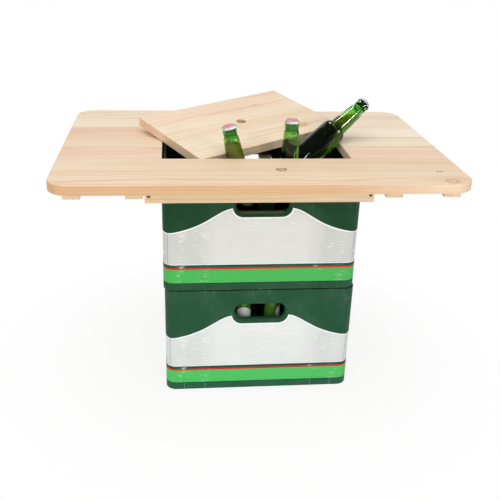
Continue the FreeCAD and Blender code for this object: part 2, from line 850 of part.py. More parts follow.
# Two bottles in the front row of the lower crate, each with a plain sticker round the neck
for name, column, facing in (("lower_left", -1, -150), ("lower_right", 1, -70)):
    x, y = cell("lower_crate_shift", column, -3)
    base = standing(name, x, y, size("crate_floor"))
    pose = Placement(base, Rotation(UP, facing))
    node(turned(name + "_sticker", STICKER, pose, size("neck_label_turn")), name + "_sticker")

# Two bottles in the cells of the upper crate: one in the rear row, one that props up the leaning bottle
upper_floor = size("crate_pitch") + size("crate_floor")
rear_x, rear_y = cell("upper_crate_shift", 1, 3)
standing("rear_bottle", rear_x, rear_y, upper_floor)
prop_x, prop_y = cell("upper_crate_shift", 3, -1)
prop = standing("prop_bottle", prop_x, prop_y, upper_floor)

# Upright bottle on top of the slats, close behind the front plank
slat_level = size("crate_pitch") + size("divider_level")
upright_y = -hatch_deep + size("bottle_radius") + 5 * size("rest_gap")
standing("upright_bottle", size("upright_bottle_x"), upright_y, slat_level)

# Tilted bottle: its base lies on the edge of the middle slat and dips into the cell on its left
lean = size("tilted_bottle_lean")
neck_at_board = size("shoulder_radius") - size("neck_taper") * size("neck_label_low") / 2
tilted_y = -hatch_deep + neck_at_board + 3 * size("rest_gap")
slat_edge = V(size("upper_crate_shift") - size("divider_thickness") / 2, tilted_y, slat_level)
tilt = Rotation(V(0, 1, 0), -lean)
tilted_base = slat_edge + tilt.multVec(V(-size("tilted_bottle_offset"), 0, size("rest_gap")))
tilted_surface = tilted_base.z + size("fill_height") * math.cos(math.radians(lean))
bottle("tilted_bottle", Placement(tilted_base, tilt), tilted_surface)


# Leaning bottle: base rim on the cap of the prop bottle, shoulder on the right edge of the hatch
def leaning_pose(rise):
    """Base point and direction of the bottle at a given angle above level."""
    corner = size("base_round")
    sine = math.sin(math.radians(rise))
    cosine = math.cos(math.radians(rise))
    hang = size("base_radius") * cosine + corner - corner * sine
    cap_level = prop.z + size("bottle_height")
    base = V(size("leaning_bottle_x"), size("leaning_bottle_y"), cap_level + size("rest_gap") + hang)
    turn = math.radians(size("leaning_bottle_turn"))
    return base, V(cosine * math.cos(turn), cosine * math.sin(turn), sine)


def edge_clearance(rise):
    """Gap between the bottle's shoulder and the upper edge of the right boards."""
    base, along = leaning_pose(rise)
    least = 1000.0
    for step in range(-240, 241):
        from_base = V(hatch_half, step * 0.5, top) - base
        reach = from_base.dot(along)
        away = (from_base - along * reach).Length
        run = size("bottle_radius") - size("shoulder_radius")
        climb = size("shoulder_height")
        bend = (run * run + climb * climb) / (2 * run)
        over = min(max(reach - size("body_height"), 0.0), climb)
        radius = size("bottle_radius") - bend + math.sqrt(max(bend * bend - over * over, 0.0))
        least = min(least, away - radius)
    return least


low_rise, high_rise = 10.0, 60.0
for _ in range(30):
    rise = (low_rise + high_rise) / 2
    if edge_clearance(rise) < size("rest_gap"):
        low_rise = rise
    else:
        high_rise = rise
leaning_base, leaning_way = leaning_pose(high_rise)
leaning_turn = Rotation(UP, size("leaning_bottle_turn")) * Rotation(V(0, 1, 0), 90 - high_rise)
leaning_surface = leaning_base.z + size("fill_height") * leaning_way.z * 0.97
bottle("leaning_bottle", Placement(leaning_base, leaning_turn), leaning_surface)

doc.recompute()
for item in doc.Objects:
    if "Invalid" in item.State or "Error" in item.State:
        raise RuntimeError("%s did not build" % item.Label)
os.makedirs("parts", exist_ok=True)
for piece in nodes:
    shape = piece.Shape
    if shape.isNull() or not shape.isValid() or not shape.Solids:
        raise RuntimeError("%s has no valid solid" % piece.Label)
    shape.exportStep("parts/%s.step" % piece.Label)
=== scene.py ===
import math

import bmesh
import bpy
from mathutils import Matrix, Vector


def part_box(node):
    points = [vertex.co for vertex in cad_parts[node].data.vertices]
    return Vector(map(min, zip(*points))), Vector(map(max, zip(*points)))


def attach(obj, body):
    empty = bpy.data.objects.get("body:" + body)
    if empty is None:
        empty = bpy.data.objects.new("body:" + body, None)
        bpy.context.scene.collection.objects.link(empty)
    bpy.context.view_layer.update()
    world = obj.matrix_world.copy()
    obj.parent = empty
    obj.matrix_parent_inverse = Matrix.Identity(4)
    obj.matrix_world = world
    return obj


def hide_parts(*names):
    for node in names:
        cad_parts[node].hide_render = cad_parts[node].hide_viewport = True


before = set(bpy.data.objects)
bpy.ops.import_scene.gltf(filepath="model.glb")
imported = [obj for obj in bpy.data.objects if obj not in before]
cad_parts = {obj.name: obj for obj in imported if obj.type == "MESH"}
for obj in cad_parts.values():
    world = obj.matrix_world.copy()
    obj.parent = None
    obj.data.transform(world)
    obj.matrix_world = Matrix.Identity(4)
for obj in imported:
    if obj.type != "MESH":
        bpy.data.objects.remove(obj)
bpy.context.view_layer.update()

# Crate shells: two stacked beer crates of injection-moulded polyethylene, dark green, with a foot band
# and thin stripes below the sleeve. They are scuffed by handling, most along the edges where one
# crate stands on the other.
CRATE_MIDDLES = {"lower": Vector((0.0131, 0, 0)), "upper": Vector((0.0107, 0, 0.24))}
HALF_LENGTH, HALF_WIDTH, CORNER = 0.19875, 0.15, 0.022
SKIN = 0.0032
FOOT_TOP, BRIGHT_TOP, RED_TOP, STRIPES_TOP = 0.0164, 0.0474, 0.0510, 0.0575
RAMP_TOP = 0.26
RUBS_LOW = 0.0175
GUIDE_COLUMNS, GUIDE_OUTER, GUIDE_INNER = (0.163, 0.116), 0.013, 0.003
TICK_COLUMNS, TICK_HALF, TICK_LOW, TICK_HIGH = (0.16, 0.1155), 0.0007, 0.002, 0.0155
LEDGE_HALF, LEDGE_LOW, LEDGE_HIGH = 0.052, 0.166, 0.1702
SHADED_GAP_LEVELS = ((0.2381, 0.2402), (-0.002, 0.0012))
CHIPPED_LEVELS = ((0.2352, 0.2381), (0.0012, 0.003))


def paint(red, green, blue):
    """A colour as the eye reads it, 0 to 255, turned into light."""
    shares = (red / 255, green / 255, blue / 255)
    light = [s / 12.92 if s <= 0.04045 else ((s + 0.055) / 1.055) ** 2.4 for s in shares]
    return (*light, 1.0)


def add(tree, kind, ins=None, **settings):
    """Place one shader node; an input is a number, a colour or a socket to link."""
    made = tree.nodes.new(kind)
    for key, value in settings.items():
        setattr(made, key, value)
    for key, value in (ins or {}).items():
        if isinstance(value, bpy.types.NodeSocket):
            tree.links.new(value, made.inputs[key])
        else:
            made.inputs[key].default_value = value
    return made


def calc(tree, work, first, second=0.5):
    """A Math node on one or two inputs."""
    return add(tree, "ShaderNodeMath", {0: first, 1: second}, operation=work).outputs[0]


def times(tree, first, *others):
    """The product of masks and numbers."""
    for other in others:
        first = calc(tree, "MULTIPLY", first, other)
    return first


def slant(tree, run, climb):
    """The length of the slant over two legs."""
    squares = calc(tree, "ADD", calc(tree, "POWER", run, 2.0), calc(tree, "POWER", climb, 2.0))
    return calc(tree, "SQRT", squares)


def parts(tree, vector):
    """The X, Y and Z of a vector."""
    return add(tree, "ShaderNodeSeparateXYZ", {0: vector}).outputs


def spread(tree, value, low, high, out_low=0.0, out_high=1.0):
    """Stretch a value from one range to another and hold it at the ends."""
    ins = {0: value, 1: low, 2: high, 3: out_low, 4: out_high}
    return add(tree, "ShaderNodeMapRange", ins, clamp=True).outputs[0]


def band(tree, value, low, high, soft=0.0005):
    """A mask that is 1 between two values."""
    rise = spread(tree, value, low - soft, low + soft)
    return calc(tree, "SUBTRACT", rise, spread(tree, value, high - soft, high + soft))


def between(tree, share, first, second):
    """Mix two values by a share."""
    return add(tree, "ShaderNodeMix", {0: share, 2: first, 3: second}).outputs[0]


def blend(tree, share, first, second, way="MIX"):
    """Mix two colours by a share."""
    ins = {0: share, 6: first, 7: second}
    return add(tree, "ShaderNodeMix", ins, data_type="RGBA", blend_type=way).outputs[2]


def over(tree, ground, mask, share, colour, way="MIX"):
    """Lay a colour over a ground by a share of a mask."""
    return blend(tree, times(tree, mask, share), ground, colour, way)


def stepped(tree, share, stops):
    """A Color Ramp that changes colour in steps."""
    made = add(tree, "ShaderNodeValToRGB", {0: share})
    made.color_ramp.interpolation = "CONSTANT"
    points = made.color_ramp.elements
    while len(points) < len(stops):
        points.new(0.5)
    for point, (place, colour) in zip(points, stops):
        point.position = place
        point.color = colour
    return made.outputs[0]


def moved(tree, vector, location=(0, 0, 0), turn=(0, 0, 0), scale=(1, 1, 1)):
    """Coordinates through a Mapping node."""
    ins = {"Vector": vector, "Location": location, "Rotation": turn, "Scale": scale}
    return add(tree, "ShaderNodeMapping", ins).outputs[0]


def noise(tree, vector, scale, detail=3.0, rough=0.55):
    """Plain noise from 0 to 1."""
    ins = {"Vector": vector, "Scale": scale, "Detail": detail, "Roughness": rough}
    return add(tree, "ShaderNodeTexNoise", ins).outputs["Fac"]


def new_group(name, inputs, outputs):
    """An empty shader group with named sockets."""
    tree = bpy.data.node_groups.new(name, "ShaderNodeTree")
    for label, kind in inputs:
        tree.interface.new_socket(label, in_out="INPUT", socket_type="NodeSocket" + kind)
    for label, kind in outputs:
        tree.interface.new_socket(label, in_out="OUTPUT", socket_type="NodeSocket" + kind)
    return tree, tree.nodes.new("NodeGroupInput").outputs, tree.nodes.new("NodeGroupOutput").inputs


def use(tree, group, ins):
    """Place a shader group and give its outputs."""
    return add(tree, "ShaderNodeGroup", ins, node_tree=group).outputs


def new_finish(name):
    """A material with its Principled shader and Object coordinates."""
    made = bpy.data.materials.new(name)
    made.use_nodes = True
    tree = made.node_tree
    shader = tree.nodes["Principled BSDF"]
    return made, tree, shader, add(tree, "ShaderNodeTexCoord").outputs["Object"]


def relief(tree, shader, height, strength, depth):
    """Bump on a shader's normal."""
    made = add(tree, "ShaderNodeBump", {"Height": height, "Strength": strength, "Distance": depth})
    tree.links.new(made.outputs[0], shader.inputs["Normal"])


def dress(material, *names):
    """Give CAD nodes a finish."""
    for name in names:
        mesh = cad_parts[name].data
        mesh.materials.clear()
        mesh.materials.append(material)


# What all the crate plastic shares: cloudy scuffs, fine scratches and a slight moulding texture
tree, source, sink = new_group(
    "moulded_plastic",
    (("Vector", "Vector"), ("Color", "Color"), ("Worn", "Color"), ("Amount", "Float")),
    (("Color", "Color"), ("Roughness", "Float"), ("Height", "Float")),
)
spot = source["Vector"]
cloud = noise(tree, spot, 14.0, 5.0, 0.6)
scratch = noise(tree, moved(tree, spot, turn=(0.2, 0.5, 0.3), scale=(12, 240, 240)), 1.0, 2.0, 0.5)
crossing = noise(tree, moved(tree, spot, turn=(0.1, -0.15, 0.1), scale=(260, 260, 16)), 1.0, 2.0, 0.5)
scratches = spread(tree, calc(tree, "MAXIMUM", scratch, crossing), 0.66, 0.76)
patches = spread(tree, cloud, 0.45, 0.75)
worn = calc(tree, "ADD", times(tree, scratches, patches), times(tree, patches, 0.2))
worn = times(tree, worn, source["Amount"])
tree.links.new(blend(tree, worn, source["Color"], source["Worn"]), sink["Color"])
tree.links.new(spread(tree, cloud, 0.0, 1.0, 0.34, 0.56), sink["Roughness"])
pores = times(tree, noise(tree, spot, 900.0, 1.0), 0.3)
tree.links.new(calc(tree, "SUBTRACT", pores, scratches), sink["Height"])
moulded_plastic = tree
WORN_GREEN = paint(112, 146, 122)


def plastic(tree, shader, vector, colour, amount):
    """Lay the shared crate plastic over a colour."""
    ins = {"Vector": vector, "Color": colour, "Worn": WORN_GREEN, "Amount": amount}
    made = use(tree, moulded_plastic, ins)
    tree.links.new(made["Color"], shader.inputs["Base Color"])
    tree.links.new(made["Roughness"], shader.inputs["Roughness"])
    shader.inputs["Specular IOR Level"].default_value = 0.1
    relief(tree, shader, made["Height"], 0.25, 0.0004)


# Transport marks: short level rubs in columns, where the crates touch the guides of a bottling line.
# Which wall a point is on, and how far along it, is told from the rounded outline of the crate.
tree, source, sink = new_group(
    "transport_marks",
    (("Vector", "Vector"),),
    (("Marks", "Float"), ("Outside", "Float"), ("Along", "Float")),
)
x, y = parts(tree, source["Vector"])[:2]
along = calc(tree, "ABSOLUTE", x)
across = calc(tree, "ABSOLUTE", y)
past_x = calc(tree, "MAXIMUM", calc(tree, "SUBTRACT", along, HALF_LENGTH - CORNER), 0.0)
past_y = calc(tree, "MAXIMUM", calc(tree, "SUBTRACT", across, HALF_WIDTH - CORNER), 0.0)
outside = calc(tree, "GREATER_THAN", slant(tree, past_x, past_y), CORNER - SKIN)
tree.links.new(outside, sink["Outside"])
on_side = calc(tree, "GREATER_THAN", past_x, past_y)
wall = between(tree, on_side, along, across)
tree.links.new(wall, sink["Along"])
columns = [
    spread(tree, calc(tree, "ABSOLUTE", calc(tree, "SUBTRACT", wall, column)), GUIDE_OUTER, GUIDE_INNER)
    for column in GUIDE_COLUMNS
]
rubs = spread(tree, noise(tree, moved(tree, source["Vector"], scale=(75, 75, 620)), 1.0, 2.0), 0.55, 0.66)
patchy = spread(tree, noise(tree, source["Vector"], 38.0, 2.0), 0.4, 0.62)
marks = times(tree, rubs, patchy, calc(tree, "MAXIMUM", *columns), outside)
tree.links.new(marks, sink["Marks"])
transport_marks = tree

RED_STRIPE, TEAL_STRIPE = paint(206, 48, 46), paint(26, 82, 62)
RUBBED_PALE, TICK_PALE = paint(226, 238, 226), paint(132, 196, 150)
LEDGE_SHADE_BROWN, GAP_SHADE_DARK, CHIP_PALE = paint(126, 112, 94), paint(10, 26, 17), paint(150, 188, 160)
# Both crates are of one plastic; the upper crate's darker greens are painted shade from the table top over
# it
for name, green, foot, bright, tick_share, gap_shade_share in (
    ("lower", paint(36, 80, 56), paint(44, 92, 68), paint(82, 196, 100), 0.4, 0.95),
    ("upper", paint(27, 68, 41), paint(36, 80, 54), paint(76, 182, 88), 0.08, 0.8),
):
    shell, tree, shader, place = new_finish(name + "_crate_plastic")
    local = moved(tree, place, location=-CRATE_MIDDLES[name])
    z = parts(tree, local)[2]
    rubbed = use(tree, transport_marks, {"Vector": local})
    stripes = (
        (0.0, foot),
        (FOOT_TOP, bright),
        (BRIGHT_TOP, RED_STRIPE),
        (RED_TOP, TEAL_STRIPE),
        (STRIPES_TOP, green),
    )
    stops = [(level / RAMP_TOP, colour) for level, colour in stripes]
    striped = stepped(tree, times(tree, z, 1 / RAMP_TOP), stops)
    ground = blend(tree, rubbed["Outside"], green, striped)
    on_stripe = band(tree, z, RUBS_LOW, STRIPES_TOP)
    ground = over(tree, ground, times(tree, rubbed["Marks"], on_stripe), 0.75, RUBBED_PALE)
    # Short pale upright lines in the foot band
    from_ticks = [
        calc(tree, "ABSOLUTE", calc(tree, "SUBTRACT", rubbed["Along"], column)) for column in TICK_COLUMNS
    ]
    ticks = calc(tree, "MAXIMUM", *[band(tree, gap, -TICK_HALF, TICK_HALF, 0.0004) for gap in from_ticks])
    ticks = times(tree, ticks, band(tree, z, TICK_LOW, TICK_HIGH, 0.001), rubbed["Outside"])
    ground = over(tree, ground, ticks, tick_share, TICK_PALE)
    if name == "upper":
        # Painted shade with a painted brown reflection of the wood, on a ledge that shows inside the hand
        # hole
        ledge_shade = band(tree, rubbed["Along"], -LEDGE_HALF, LEDGE_HALF, 0.001)
        inside = calc(tree, "SUBTRACT", 1.0, rubbed["Outside"])
        ledge_shade = times(tree, ledge_shade, band(tree, z, LEDGE_LOW, LEDGE_HIGH, 0.0006), inside)
        ground = over(tree, ground, ledge_shade, 0.7, LEDGE_SHADE_BROWN)
    # Painted shade and grime in the gap where one crate stands on the other: a dark band at the top rim and
    # at the foot of each crate
    gap_shade = calc(tree, "MAXIMUM", *[band(tree, z, *levels) for levels in SHADED_GAP_LEVELS])
    ground = over(tree, ground, gap_shade, gap_shade_share, GAP_SHADE_DARK)
    chipped = spread(tree, noise(tree, moved(tree, local, scale=(1, 1, 2)), 130.0, 3.0, 0.6), 0.64, 0.7)
    edges = calc(tree, "ADD", *[band(tree, z, *levels) for levels in CHIPPED_LEVELS])
    ground = over(tree, ground, times(tree, edges, chipped), 0.8, CHIP_PALE)
    plastic(tree, shader, local, ground, 0.6)
    dress(shell, name + "_crate")

# Divider slats: the insert that parts each crate into cells, of the same green plastic, thin and dull,
# pushed down onto the crate floor.
slats, tree, shader, place = new_finish("divider_plastic")
plastic(tree, shader, place, paint(36, 76, 52), 0.5)
dress(slats, "lower_dividers", "upper_dividers")

# Sleeves: a pale film round each crate, set in a shallow recess. Its upper edge rises in a wave to the
# hand hole and is drawn with a whiter line; the panel below is plain and a little marked by use.
WAVE = ((1.0, 0.0), (0.72, 0.12), (0.43, 0.42), (0.2, 0.79), (0.08, 0.95), (0.0, 1.0))
CREST_HALF = 0.0595
WAVE_LOW, WAVE_HIGH = 0.127, 0.18
BORDER, BLUR = 0.003, 0.0006
HOLE_HALF, HOLE_LEVEL, HOLE_RIM = 0.0385, 0.182, 0.024
FOOT_EDGE = (0.05, 0.0594)
END_DEPTH = 0.0045
FLANK_START, FLANK_END = 0.09, 0.13
SEAM_NEAR, SEAM_FAR, SEAM_CORNER = 0.0094, 0.0101, 0.13
SMUDGE_GREY, STREAK_GREY, SEAM_DARK = paint(200, 203, 200), paint(190, 194, 192), paint(70, 90, 80)
SPECK_WHITE, RUBBED_WHITE, BORDER_WHITE = paint(250, 251, 248), paint(252, 252, 248), paint(246, 248, 246)


def wave_level(tree, across, half):
    """Height of the sleeve's upper edge at a distance from the middle of a wall."""
    inner = CREST_HALF / half
    made = add(tree, "ShaderNodeFloatCurve", {1: times(tree, across, 1 / half)})
    points = made.mapping.curves[0].points
    stops = [(0.0, 1.0)] + [(inner + (1 - inner) * a, b) for a, b in reversed(WAVE)]
    while len(points) < len(stops):
        points.new(0.5, 0.5)
    for point, stop in zip(points, stops):
        point.location = stop
    made.mapping.update()
    return spread(tree, made.outputs[0], 0.0, 1.0, WAVE_LOW, WAVE_HIGH)


# Both sleeves are of one film; the upper sleeve's greyer colours are painted shade from the table top over
# it
for name, panel, flank in (
    ("lower", paint(231, 234, 231), paint(217, 221, 219)),
    ("upper", paint(222, 223, 218), paint(206, 207, 203)),
):
    film, tree, shader, place = new_finish(name + "_sleeve_film")
    local = moved(tree, place, location=-CRATE_MIDDLES[name])
    x, y, z = parts(tree, local)
    along = calc(tree, "ABSOLUTE", x)
    across = calc(tree, "ABSOLUTE", y)
    rubbed = use(tree, transport_marks, {"Vector": local})
    on_side = calc(tree, "GREATER_THAN", along, HALF_LENGTH - END_DEPTH)
    from_middle = between(tree, on_side, along, across)
    crest = between(
        tree, on_side, wave_level(tree, along, HALF_LENGTH), wave_level(tree, across, HALF_WIDTH)
    )
    border = spread(tree, calc(tree, "SUBTRACT", crest, z), BORDER + BLUR, BORDER)
    beside = calc(tree, "MAXIMUM", calc(tree, "SUBTRACT", from_middle, HOLE_HALF), 0.0)
    below = calc(tree, "MAXIMUM", calc(tree, "SUBTRACT", HOLE_LEVEL, z), 0.0)
    rim = spread(tree, slant(tree, beside, below), HOLE_RIM + BLUR, HOLE_RIM)
    border = calc(tree, "MAXIMUM", border, rim)
    smudge = spread(tree, noise(tree, moved(tree, local, scale=(1, 1, 2.2)), 16.0, 5.0, 0.62), 0.35, 0.75)
    streak = spread(tree, noise(tree, moved(tree, local, scale=(14, 14, 420)), 1.0, 3.0), 0.5, 0.72)
    specks = spread(tree, noise(tree, moved(tree, local, scale=(40, 40, 330)), 1.0, 2.0), 0.66, 0.72)
    ground = blend(tree, spread(tree, from_middle, FLANK_START, FLANK_END), panel, flank)
    ground = over(tree, ground, smudge, 0.22, SMUDGE_GREY)
    ground = over(tree, ground, streak, 0.2, STREAK_GREY)
    ground = over(tree, ground, specks, 0.7, SPECK_WHITE)
    ground = over(tree, ground, rubbed["Marks"], 0.9, RUBBED_WHITE)
    foot = band(tree, z, *FOOT_EDGE, 0.0003)
    ground = blend(tree, calc(tree, "MAXIMUM", border, foot), ground, BORDER_WHITE)
    seam = band(tree, along, HALF_LENGTH - SEAM_FAR, HALF_LENGTH - SEAM_NEAR, 0.0003)
    seam = times(tree, seam, calc(tree, "GREATER_THAN", across, SEAM_CORNER))
    ground = over(tree, ground, seam, 0.7, SEAM_DARK)
    tree.links.new(ground, shader.inputs["Base Color"])
    tree.links.new(spread(tree, smudge, 0.0, 1.0, 0.36, 0.52), shader.inputs["Roughness"])
    shader.inputs["Specular IOR Level"].default_value = 0.25
    ripple = noise(tree, moved(tree, local, scale=(9, 9, 3)), 1.0, 2.0)
    relief(tree, shader, calc(tree, "ADD", ripple, times(tree, streak, 0.02)), 0.35, 0.003)
    dress(film, name + "_label")

# Bottles: blown green glass with a round shoulder, a tapered neck and a bead below the crown cap, filled
# well up the neck with beer. Outlines are radius and height of a small returnable bottle, in
# millimetres, and are spun round the upright axis.
MILLIMETRES = 1000
SPIN_STEPS = 72
MERGE_GAP, RING_GAP = 1e-6, 1e-5
SHOULDER_LOW, SHOULDER_HIGH, SHOULDER_STEPS = 104.0, 120.0, 9
FILL_HEIGHT = 169.5
BEAD_MIDDLE, BEAD_HALF, BEAD_TINT = 0.1966, 0.001, 0.35
BEAD_FOOT, HEEL_TOP, INNER_FLOOR = 0.187, 0.006, 0.01
SHARP_ANGLE = math.radians(40)


def shoulder(body_radius, joint_radius):
    """Points of the round shoulder, from the body up to the sharp joint with the neck."""
    run, climb = body_radius - joint_radius, SHOULDER_HIGH - SHOULDER_LOW
    bend = (run * run + climb * climb) / (2 * run)
    sweep = math.asin(climb / bend)
    turns = [sweep * step / SHOULDER_STEPS for step in range(SHOULDER_STEPS + 1)]
    return [
        (body_radius - bend + bend * math.cos(turn), SHOULDER_LOW + bend * math.sin(turn)) for turn in turns
    ]


GLASS_OUTLINE = (
    [(0, 2.4), (18, 1.0), (21.5, 0.2), (24.5, 0), (27.5, 3)]
    + shoulder(27.5, 19.3)
    + [(15.5, 184), (13.2, 188.2), (13.2, 190.2), (14, 192.4), (14, 196.6), (14, 200.9)]
    + [(12.9, 202.4), (12.9, 208.6), (9, 208.6), (9, 198), (10.4, 190), (12.5, 184)]
    + shoulder(24.5, 16.3)[::-1]
    + [(24.5, 7), (21.5, 4), (0, 4.6)]
)
GLASS_ROUNDS = (
    (24.5, 0, 1.6, 3),
    (27.5, 3, 1.6, 3),
    (15.5, 184, 2.2, 4),
    (14, 192.4, 1.0, 3),
    (14, 200.9, 1.2, 3),
    (24.5, 7, 1.6, 3),
)
BEER_OUTLINE = (
    [(0, 4.5), (21.6, 3.9), (24.6, 7)]
    + shoulder(24.6, 16.4)
    + [(12.6, 184), (10.5, 190), (9.1, 198), (9.1, 204), (0, 204)]
)


def spun(outline, steps=SPIN_STEPS):
    """Spin an outline round the upright axis."""
    mesh = bmesh.new()
    points = [mesh.verts.new((radius / MILLIMETRES, 0, height / MILLIMETRES)) for radius, height in outline]
    lines = [mesh.edges.new(pair) for pair in zip(points, points[1:])]
    bmesh.ops.spin(
        mesh,
        geom=points + lines,
        cent=(0, 0, 0),
        axis=(0, 0, 1),
        angle=2 * math.pi,
        steps=steps,
        use_merge=True,
    )
    bmesh.ops.remove_doubles(mesh, verts=mesh.verts, dist=MERGE_GAP)
    bmesh.ops.recalc_face_normals(mesh, faces=mesh.faces)
    return mesh


def round_ring(mesh, radius, height, width, segments):
    """Round the ring of edges at a radius and height, in millimetres."""

    def there(vert):
        level = abs(vert.co.z - height / MILLIMETRES) < RING_GAP
        return level and abs(vert.co.xy.length - radius / MILLIMETRES) < RING_GAP

    ring = [edge for edge in mesh.edges if there(edge.verts[0]) and there(edge.verts[1])]
    bmesh.ops.bevel(
        mesh,
        geom=ring,
        offset=width / MILLIMETRES,
        offset_type="OFFSET",
        affect="EDGES",
        segments=segments,
        profile=0.5,
        material=-1,
        clamp_overlap=True,
    )


def as_piece(mesh, name, body, materials):
    """Turn a bmesh into a finished piece on its body."""
    data = bpy.data.meshes.new(name)
    mesh.to_mesh(data)
    mesh.free()
    for material in materials:
        data.materials.append(material)
    data.shade_smooth()
    data.set_sharp_from_angle(angle=SHARP_ANGLE)
    piece = bpy.data.objects.new(name, data)
    bpy.context.collection.objects.link(piece)
    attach(piece, body)
    return piece


GREEN_DARK, GREEN_LIGHT = (0.36, 0.7, 0.18, 1), (0.43, 0.76, 0.23, 1)
SCUFFED_DARK, SCUFFED_LIGHT = (0.12, 0.34, 0.04, 1), (0.18, 0.44, 0.06, 1)
THICK_GREEN = (0.045, 0.36, 0.04, 1)
GLASS_BEND, WET_BEND = 1.48, 1.1
BEER_TINT, BEER_DEPTH = (0.76, 0.64, 0.0, 1), 32.0


def bottle_green(name, bend, clear=1.0, dark=GREEN_DARK, light=GREEN_LIGHT):
    """Green glass; bend is the index of refraction against what lies on the other side of the wall."""
    made, tree, shader, place = new_finish(name)
    flow = spread(tree, noise(tree, moved(tree, place, scale=(1, 1, 0.4)), 40.0, 2.0), 0.3, 0.7)
    tint = blend(tree, flow, dark, light)
    thick = add(tree, "ShaderNodeAttribute", attribute_name="thick_glass").outputs["Fac"]
    tint = blend(tree, thick, tint, THICK_GREEN)
    tree.links.new(tint, shader.inputs["Base Color"])
    shader.inputs["Transmission Weight"].default_value = clear
    shader.inputs["IOR"].default_value = bend
    shader.inputs["Roughness"].default_value = 0.0
    return made


green_glass = bottle_green("green_bottle_glass", GLASS_BEND)
wet_glass = bottle_green("wet_bottle_glass", WET_BEND)
scuffed_glass = bottle_green("scuffed_bottle_glass", GLASS_BEND, 0.5, SCUFFED_DARK, SCUFFED_LIGHT)


def amber(name, clear, dark, light):
    """Beer that lets a share of the light through; it meets the wet glass, which bends the light."""
    made, tree, shader, place = new_finish(name)
    haze = spread(tree, noise(tree, place, 8.0, 2.0), 0.3, 0.7)
    tree.links.new(blend(tree, haze, dark, light), shader.inputs["Base Color"])
    shader.inputs["Transmission Weight"].default_value = clear
    shader.inputs["Specular IOR Level"].default_value = 0.0
    shader.inputs["IOR"].default_value = 1.0
    shader.inputs["Roughness"].default_value = 0.0
    depth = add(tree, "ShaderNodeVolumeAbsorption", {"Color": BEER_TINT, "Density": BEER_DEPTH})
    tree.links.new(depth.outputs[0], tree.nodes["Material Output"].inputs["Volume"])
    return made


clear_beer = amber("clear_beer", 1.0, (0.97, 0.95, 0.9, 1), (1, 0.98, 0.94, 1))
deep_beer = amber("deep_beer", 1.0, (0.5, 0.4, 0.12, 1), (0.6, 0.48, 0.16, 1))
cloudy_beer = amber("cloudy_beer", 0.5, (0.74, 0.48, 0.06, 1), (0.88, 0.56, 0.09, 1))

glass_form = spun(GLASS_OUTLINE)
for radius, height, width, segments in GLASS_ROUNDS:
    round_ring(glass_form, radius, height, width, segments)
thick = glass_form.verts.layers.float.new("thick_glass")
for vert in glass_form.verts:
    if abs(vert.co.z - BEAD_MIDDLE) < BEAD_HALF:
        vert[thick] = BEAD_TINT
    else:
        vert[thick] = 1.0 if vert.co.z > BEAD_FOOT or vert.co.z < HEEL_TOP else 0.0
for face in glass_form.faces:
    middle = face.calc_center_median()
    outward = Vector((middle.x, middle.y, 0)).normalized()
    inner = face.normal.dot(outward) < -0.05 or (face.normal.z > 0.5 and middle.z < INNER_FLOOR)
    face.material_index = 1 if inner else 0
beer_form = spun(BEER_OUTLINE)
for face in beer_form.faces:
    face.material_index = 1 if face.calc_center_median().z > SHOULDER_HIGH / MILLIMETRES else 0

# Crown caps: tinplate pressed over the lip, with a crimped skirt of twenty-one flutes left bright and
# a plain red lacquered top. The flutes grow deeper towards the edge of the skirt.
CAP_OUTLINE = (
    (0, 210), (9.8, 210), (11.7, 209.7), (12.9, 208.9), (13.7, 207.6), (14.1, 206.2), (14.6, 204.4),
    (14.7, 203.4), (14.3, 203.4), (13.9, 205), (13.4, 207), (13.1, 208.6), (0, 209.2),
)
CAP_STEPS = 126
FLUTES, FLUTE_DEPTH, FLUTE_BIAS = 21, 0.042, 0.3
SKIRT_TOP, SKIRT_DROP, SKIRT_RADIUS = 0.2082, 0.004, 0.0125
LACQUER_RADIUS = 0.0118
cap_form = spun(CAP_OUTLINE, CAP_STEPS)
for vert in cap_form.verts:
    drop = max(0.0, min(1.0, (SKIRT_TOP - vert.co.z) / SKIRT_DROP))
    if vert.co.xy.length > SKIRT_RADIUS:
        turn = math.atan2(vert.co.y, vert.co.x)
        grow = 1 + FLUTE_DEPTH * drop * (math.cos(FLUTES * turn) - FLUTE_BIAS)
        vert.co.x *= grow
        vert.co.y *= grow
for face in cap_form.faces:
    on_top = face.calc_center_median().xy.length < LACQUER_RADIUS and face.normal.z > 0.5
    face.material_index = 0 if on_top else 1

red_lacquer, tree, shader, place = new_finish("red_cap_lacquer")
rubbed = spread(tree, noise(tree, place, 320.0, 4.0, 0.65), 0.58, 0.72)
tree.links.new(blend(tree, rubbed, paint(206, 52, 66), paint(232, 176, 178)), shader.inputs["Base Color"])
shader.inputs["Roughness"].default_value = 0.32
shader.inputs["Coat Weight"].default_value = 0.4
tinplate, tree, shader, place = new_finish("bright_tinplate")
dull = spread(tree, noise(tree, place, 500.0, 3.0), 0.3, 0.8)
tree.links.new(blend(tree, dull, paint(232, 232, 230), paint(190, 190, 188)), shader.inputs["Base Color"])
shader.inputs["Metallic"].default_value = 0.6
tree.links.new(spread(tree, dull, 0.0, 1.0, 0.22, 0.42), shader.inputs["Roughness"])


def stood(base, lean=0.0, turn=0.0):
    """Place of a bottle from the middle of its base, in millimetres, and its lean and turn in degrees."""
    turned = Matrix.Rotation(math.radians(turn), 4, "Z")
    leant = Matrix.Rotation(math.radians(lean), 4, (0, 1, 0))
    return Matrix.Translation(Vector(base) / MILLIMETRES) @ turned @ leant


